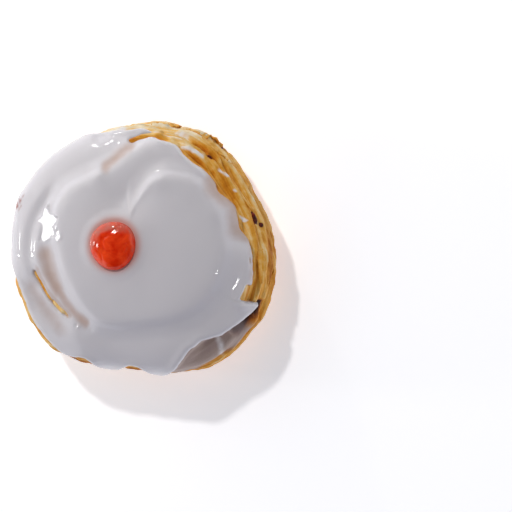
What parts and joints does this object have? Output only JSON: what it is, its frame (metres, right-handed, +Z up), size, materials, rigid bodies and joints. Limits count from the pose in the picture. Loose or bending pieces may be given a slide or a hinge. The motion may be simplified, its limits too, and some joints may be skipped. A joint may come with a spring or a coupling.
{
  "type": "belgian bun",
  "caption": "Round coiled sweet bun on a flat base, with white icing over its spiral top and down the sides, bare baked layers along the right flank and a halved cherry in the middle.",
  "frame": {"origin": "middle of the flat base, on the axis of the coil", "axes": "+Z up along the axis of the coil, from the base to the cherry; seen from above, +X is the bun's right, where its side is bare, and +Y its top"},
  "size_m": [0.1021, 0.0962, 0.0481],
  "materials": {
    "baked_dough": "matt golden-brown baked crust",
    "water_icing": "glossy white set icing",
    "glace_cherry": "wet-looking translucent red"
  },
  "bodies": {
    "root": {"coil_bun": "baked_dough", "icing": "water_icing", "cherry": "glace_cherry"}
  },
  "joints": []
}
